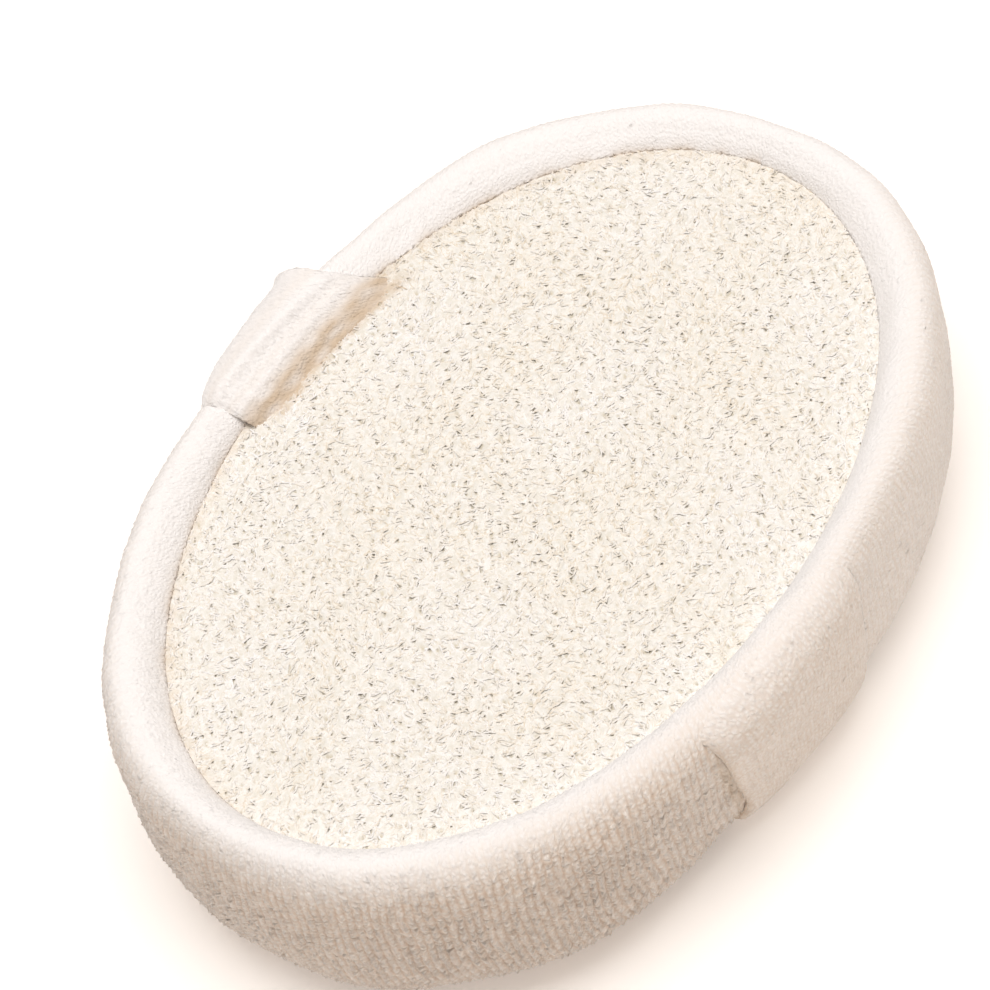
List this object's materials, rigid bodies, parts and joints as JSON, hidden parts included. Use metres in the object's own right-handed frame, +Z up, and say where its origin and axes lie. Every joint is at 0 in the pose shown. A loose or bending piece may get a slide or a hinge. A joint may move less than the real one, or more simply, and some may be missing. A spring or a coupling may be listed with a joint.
{
  "type": "loofah bath pad",
  "caption": "Oval bath scrubbing pad: a pressed natural loofah face framed by a rolled white terry rim and wall over a foam core, with a terry hand strap across the back.",
  "frame": {"origin": "on the resting plane under the strap, below the middle of the oval", "axes": "+X along the oval's length, +Y across it towards the strap end that is folded over the rim, +Z up out of the loofah face"},
  "size_m": [0.15, 0.1116, 0.0389],
  "materials": {
    "loofah": "matte pale plant fibre",
    "foam": "open cell foam",
    "terry": "looped terry cloth"
  },
  "bodies": {
    "root": {"loofah_face": "loofah", "foam_core": "foam", "terry_side_band": "terry", "terry_back_panel": "terry", "hand_strap": "terry"}
  },
  "joints": []
}
